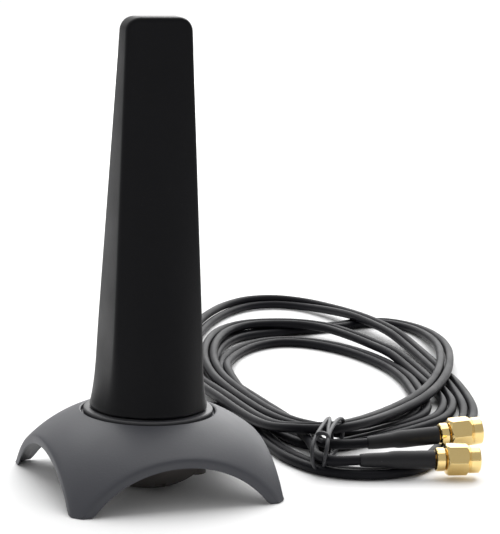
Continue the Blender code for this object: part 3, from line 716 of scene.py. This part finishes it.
def makeDome(d):
    plan = domePlan(d)

    def ring(rule):
        return [(r * math.cos(a), r * math.sin(a), z)
                for a, (r, z) in ((a, rule(reach)) for a, reach in plan)]

    def fixed(r, z):
        return ring(lambda reach: (r, z))

    def outer(r):
        return arcHeight(d, r, d["arc"])

    def inner(r):
        return arcHeight(d, r, d["hollowArc"])

    seat, lip = d["seat"], outer(d["seat"] + d["lip"])
    sections = [fixed(d["hubHole"], d["seatFloor"]), fixed(seat - 0.2, d["seatFloor"]),
                fixed(seat, d["seatFloor"] + 0.2), fixed(seat, lip - 0.5),
                fixed(seat + 0.16, lip - 0.14), fixed(seat + d["lip"], lip)]
    for step in range(1, d["rows"] + 1):
        share = step / d["rows"]

        def rule(reach, share=share):
            r = seat + d["lip"] + (reach - 0.5 - seat - d["lip"]) * share
            return r, outer(r)
        sections.append(ring(rule))
    for surface, inset, lift, least in ((outer, *d["rim"][0]), (outer, *d["rim"][1]),
                                        (inner, *d["rim"][2]), (inner, *d["rim"][3])):
        sections.append([(r * math.cos(a), r * math.sin(a), z) for a, r, z in (
            (a, reach - inset, max(surface(reach) + lift, least)) for a, reach in plan)])
    for step in range(d["hollowRows"] + 1):
        share = step / d["hollowRows"]

        def rule(reach, share=share):
            r = reach - 0.4 + (seat + 1.6 - reach + 0.4) * share
            return r, inner(r)
        sections.append(ring(rule))
    sections += [fixed(seat + 0.4, d["seatUnder"]), fixed(d["hub"], d["seatUnder"]),
                 fixed(d["hub"], d["hubBottom"]), fixed(d["hubHole"], d["hubBottom"])]
    bm = bmesh.new()
    loftRings(bm, sections, closed=True)
    for turn in range(4):            # posts that the bowl's screws go into
        a = math.radians(45.0 + 90.0 * turn)
        place = Matrix.Translation(Vector((14.0 * math.cos(a), 14.0 * math.sin(a), 12.9)) * mm)
        bmesh.ops.create_cone(bm, cap_ends=True, segments=24, radius1=2.4 * mm,
                              radius2=2.4 * mm, depth=9.2 * mm, matrix=place)
    return addPiece("dome_shell", meshFrom(bm, "dome_shell", 38.0), "domeGrey", "base",
                    ["base_shell"])


makeDome(dome)
print("dome made")


# bowl under the dome
bowl = {
    "radius": 22.4, "middle": 21.3, "wall": 1.5, "bottom": 0.6, "floor": 2.4, "rim": 16.4,
    "screwCircle": 14.0, "pocket": 2.3, "pocketTop": 6.2,
    "notch": ((-1.6, -12.4, -1.0), (1.6, -8.9, 2.9)),
    "glandSpacing": 3.4, "glandHeight": 7.4,
}


def sphereArc(radius, middle, low, high, count):
    points = []
    a, b = (math.asin((z - middle) / radius) for z in (low, high))
    for step in range(count + 1):
        angle = a + (b - a) * step / count
        points.append((radius * math.cos(angle), middle + radius * math.sin(angle)))
    return points


def cylinderMesh(radius, low, high, place, name, along="Z", steps=32):
    bm = bmesh.new()
    bmesh.ops.create_cone(bm, cap_ends=True, segments=steps, radius1=radius * mm,
                          radius2=radius * mm, depth=(high - low) * mm,
                          matrix=Matrix.Translation((0, 0, (low + high) / 2.0 * mm)))
    if along == "Y":
        bmesh.ops.rotate(bm, verts=bm.verts, cent=(0, 0, 0),
                         matrix=Matrix.Rotation(-math.pi / 2.0, 3, "X"))
    bmesh.ops.translate(bm, verts=bm.verts, vec=Vector(place) * mm)
    return asMesh(bm, name)


def boxMesh(low, high, name, edge=0.0):
    bm = bmesh.new()
    bmesh.ops.create_cube(bm, size=1.0)
    size, middle = Vector(high) - Vector(low), (Vector(high) + Vector(low)) / 2.0
    bmesh.ops.scale(bm, vec=size * mm, verts=bm.verts)
    bmesh.ops.translate(bm, vec=middle * mm, verts=bm.verts)
    if edge:
        bmesh.ops.bevel(bm, geom=bm.edges, offset=edge * mm, segments=2, profile=0.5,
                        affect="EDGES", material=-1)
    return asMesh(bm, name)


def makeBowl(b):
    inner = b["radius"] - b["wall"]
    inside = sphereArc(inner, b["middle"], b["floor"], b["rim"], 16)
    outside = sphereArc(b["radius"], b["middle"], b["bottom"] + 0.15, b["rim"], 26)[::-1]
    profile = [(0.0, b["floor"])] + inside + outside
    profile += [(outside[-1][0] - 0.45, b["bottom"]), (0.0, b["bottom"])]
    bm = bmesh.new()
    spinProfile(bm, profile, 96, closed=False)
    cutters = [(boxMesh(*b["notch"], "notch", 0.35), "DIFFERENCE")]
    for turn in range(4):
        a = math.radians(45.0 + 90.0 * turn)
        place = (b["screwCircle"] * math.cos(a), b["screwCircle"] * math.sin(a), 0.0)
        boss = cylinderMesh(3.1, 4.6, 8.0, place, "boss")
        pocket = cylinderMesh(b["pocket"], -1.0, b["pocketTop"], place, "pocket")
        hole = cylinderMesh(1.3, 0.0, 9.0, place, "hole", steps=20)
        cutters += [(boss, "UNION"), (pocket, "DIFFERENCE"), (hole, "DIFFERENCE")]
    for side in (-1.0, 1.0):
        place = (side * b["glandSpacing"], 10.0, b["glandHeight"])
        cutters.append((cylinderMesh(2.9, 0.0, 12.0, place, "gland", "Y"), "DIFFERENCE"))
    bm = cutWith(bm, cutters, "bowl")
    return addPiece("magnet_bowl", meshFrom(bm, "magnet_bowl", 30.0), "bowlGrey", "base",
                    ["base_bowl"])


makeBowl(bowl)
print("bowl made")


# swivel foot between the tower and its seat
foot = {
    "plug": 12.0, "plugTop": 24.5, "top": 20.8, "flange": 17.3, "bottom": 19.1,
    "stem": 6.0, "hole": 4.0, "stemBottom": 10.8, "screws": ((-9.0, 0.0), (9.0, 0.0)),
}


def makeFoot(f):
    profile = [(f["hole"], f["plugTop"]), (f["plug"] - 0.3, f["plugTop"]),
               (f["plug"], f["plugTop"] - 0.3), (f["plug"], f["top"]),
               (f["flange"] - 0.6, f["top"]), (f["flange"] - 0.25, f["top"] - 0.08),
               (f["flange"] - 0.06, f["top"] - 0.28), (f["flange"], f["top"] - 0.6),
               (f["flange"], f["bottom"] + 0.15), (f["flange"] - 0.15, f["bottom"]),
               (f["stem"], f["bottom"]), (f["stem"], f["stemBottom"] + 0.4),
               (f["stem"] - 0.4, f["stemBottom"]), (f["hole"], f["stemBottom"])]
    bm = bmesh.new()
    spinProfile(bm, profile, 96)
    cutters = []
    for x, y in f["screws"]:
        cutters.append((cylinderMesh(1.3, 18.0, 26.0, (x, y, 0), "hole", steps=20),
                        "DIFFERENCE"))
        cutters.append((cylinderMesh(2.2, 18.0, 20.8, (x, y, 0), "pocket"), "DIFFERENCE"))
    bm = cutWith(bm, cutters, "foot")
    return addPiece("turning_foot", meshFrom(bm, "turning_foot", 30.0), "footBlack", "tower",
                    ["swivel_foot"])


makeFoot(foot)
print("foot made")


# strain reliefs
relief = {"start": 9.6, "length": 19.4, "spacing": 3.4, "height": 7.4,
          "ribs": 5, "ribStart": 11.0, "ribPitch": 1.55}


def makeRelief(r, letter, side):
    outline = [(1.5, 0.0), (3.1, 0.0), (3.1, 1.4), (2.6, 1.5), (2.6, 9.4)]
    for rib in range(r["ribs"]):
        at = r["ribStart"] + rib * r["ribPitch"]
        out = 2.55 - 0.5 * (at - 9.4) / 10.0
        outline += [(out, at - 0.75), (out, at - 0.05), (out - 0.32, at + 0.1),
                    (out - 0.32, at + 0.55)]
    outline += [(2.05, r["length"] - 1.2), (1.95, r["length"] - 0.2),
                (1.75, r["length"]), (1.5, r["length"])]
    bm = bmesh.new()
    spinProfile(bm, outline, 40)
    bmesh.ops.rotate(bm, verts=bm.verts, cent=(0, 0, 0),
                     matrix=Matrix.Rotation(-math.pi / 2.0, 3, "X"))
    bmesh.ops.translate(bm, verts=bm.verts,
                        vec=Vector((side * r["spacing"], r["start"], r["height"])) * mm)
    name = "relief_" + letter
    return addPiece(name, meshFrom(bm, name, 35.0), "rubberBlack", "base",
                    ["strain_relief_" + letter])


reliefPieces = {letter: makeRelief(relief, letter, side)
                for letter, side in (("a", 1.0), ("b", -1.0))}
print("strain reliefs made")


# sleeves and screw-on plugs
plugShape = {
    "sleeve": [(1.42, 0.0), (1.62, 0.02), (1.78, 0.35), (1.86, 1.2), (1.95, 2.4), (2.02, 4.0),
               (2.08, 6.4), (2.16, 7.6), (2.36, 8.6), (2.46, 9.4), (2.50, 11.0), (2.47, 14.0),
               (2.51, 17.0), (2.50, 19.6), (2.56, 20.2), (2.48, 20.55), (2.1, 20.6),
               (1.75, 20.6), (1.75, 8.4), (1.42, 6.0)],
    "body": [(0.0, 25.0), (1.6, 25.0), (1.6, 31.25), (1.75, 31.4), (2.05, 31.4), (2.2, 31.25),
             (2.2, 23.4), (2.95, 23.4), (3.2, 23.2), (3.24, 22.9), (3.24, 21.5), (3.18, 21.2),
             (3.0, 21.0), (2.6, 20.9), (0.0, 20.9)],
    "nut": [(2.5, 23.7), (3.55, 23.7), (3.95, 23.85), (4.75, 24.55), (4.75, 29.05),
            (3.95, 29.82), (3.72, 29.98), (3.72, 30.2), (3.86, 30.35), (3.86, 32.75),
            (3.72, 33.0), (3.5, 33.1), (3.2, 33.1), (3.1, 33.0), (3.1, 25.4), (2.5, 25.4)],
    "hex": 8.0,
    "hexEdge": 0.16,
}


def ontoPlug(bm, letter):
    plug = plugs[letter]
    turn = Matrix.Rotation(math.radians(plug["turn"]), 4, "Z")
    lean = Matrix.Rotation(math.radians(90.0 - plug["tilt"]), 4, "Y")
    bmesh.ops.transform(bm, verts=bm.verts,
                        matrix=Matrix.Translation(Vector(plug["start"]) * mm) @ turn @ lean)


def hexMesh(across, low, high, edge):
    bm = bmesh.new()
    bmesh.ops.create_cone(bm, cap_ends=True, segments=6,
                          radius1=across / 2.0 / math.cos(math.pi / 6.0) * mm,
                          radius2=across / 2.0 / math.cos(math.pi / 6.0) * mm,
                          depth=(high - low) * mm,
                          matrix=Matrix.Translation((0, 0, (low + high) / 2.0 * mm)))
    upright = [e for e in bm.edges if abs(e.verts[0].co.z - e.verts[1].co.z) > 0.001]
    bmesh.ops.bevel(bm, geom=upright, offset=edge * mm, segments=2, profile=0.5,
                    affect="EDGES", material=-1)
    return asMesh(bm, "hex")


def makePlug(p, letter):
    made = []
    for label, key, material, slot, body, nodeName, closed in (
            ("shrink_sleeve", "sleeve", "shrinkBlack", "heat_shrink", "base", "heat_shrink",
             True),
            ("plug_collar", "body", "goldPlate", "gold_plate", "base", "plug_body", False),
            ("hex_nut", "nut", "goldPlate", "gold_plate", "nut_" + letter, "coupling_nut",
             True)):
        bm = bmesh.new()
        spinProfile(bm, p[key], 72, closed=closed)
        if key == "nut":
            bm = cutWith(bm, [(hexMesh(p["hex"], 23.0, 34.0, p["hexEdge"]), "INTERSECT")],
                         "nut")
        ontoPlug(bm, letter)
        name = f"{label}_{letter}"
        piece = addPiece(name, meshFrom(bm, name, 24.0), material, body,
                         [f"{nodeName}_{letter}"])
        made.append(piece)
    return made


plugPieces = {letter: makePlug(plugShape, letter) for letter in ("a", "b")}
print("plugs made")


# finishes for the nodes that keep their own shape
nodeFinish = {
    "magnet": "nickel", "keeper_plate": "screwSteel", "swivel_nut": "screwSteel",
    "friction_washer": "screwSteel", "snap_ring": "screwSteel", "bowl_screw": "screwSteel",
    "foot_screw": "screwSteel", "antenna_board": "boardGreen", "dipole": "foilCopper",
    "board_carrier": "carrierWhite", "inner_lead": "leadBlack", "crimp_ferrule": "goldPlate",
    "plug_dielectric": "ptfeWhite", "center_socket": "goldPlate", "plug_gasket": "sealRed",
}
for nodeName, node in nodes.items():
    for start, material in nodeFinish.items():
        if nodeName.startswith(start):
            for index in range(len(node.material_slots)):
                node.material_slots[index].material = finish[material]
print("nodes finished")


# floor and light
stage = {"floor": (0.90, 0.90, 0.90), "size": 40.0, "world": 0.50}
skyLight = {"power": 2.3, "spread": 75.0, "from": (0.15, 0.40, 1.0)}    # spread in degrees
lights = [
    # name, place, aim, width, height, watts
    ("backAbove", (0.35, 1.10, 0.75), (0.02, 0.0, 0.02), 2.2, 1.2, 6.0),
    ("backRight", (0.65, 0.80, 0.46), (0.02, 0.0, 0.02), 1.0, 0.9, 4.5),
    ("left", (-0.95, 0.35, 0.50), (0.0, 0.0, 0.06), 0.6, 0.8, 1.0),
]


def makeStage(s):
    bm = bmesh.new()
    bmesh.ops.create_grid(bm, x_segments=1, y_segments=1, size=s["size"] / 2.0)
    bmesh.ops.translate(bm, verts=bm.verts, vec=(0, 0, -0.0001))
    mesh = asMesh(bm, "floor")
    floor = bpy.data.objects.new("floor", mesh)
    scene.collection.objects.link(floor)
    made, tree, shader, place = startMaterial("floorPale")
    shader.inputs["Base Color"].default_value = (*s["floor"], 1.0)
    shader.inputs["Roughness"].default_value = 0.9
    mesh.materials.append(made)
    world = bpy.data.worlds.new("studio")
    world.use_nodes = True
    world.node_tree.nodes["Background"].inputs["Color"].default_value = (1, 1, 1, 1)
    world.node_tree.nodes["Background"].inputs["Strength"].default_value = s["world"]
    scene.world = world
    return floor


def makeLight(name, place, aim, width, height, watts):
    data = bpy.data.lights.new(name, "AREA")
    data.shape = "RECTANGLE"
    data.size = width
    data.size_y = height
    data.energy = watts
    lamp = bpy.data.objects.new(name, data)
    scene.collection.objects.link(lamp)
    lamp.location = place
    lamp.rotation_euler = (Vector(aim) - Vector(place)).to_track_quat("-Z", "Y").to_euler()


def makeSky(s):
    data = bpy.data.lights.new("sky", "SUN")
    data.energy = s["power"]
    data.angle = math.radians(s["spread"])
    lamp = bpy.data.objects.new("sky", data)
    scene.collection.objects.link(lamp)
    lamp.rotation_euler = Vector(s["from"]).to_track_quat("Z", "Y").to_euler()


makeStage(stage)
makeSky(skyLight)
for lightSet in lights:
    makeLight(*lightSet)
scene.view_settings.view_transform = "Standard"
print("stage lit")
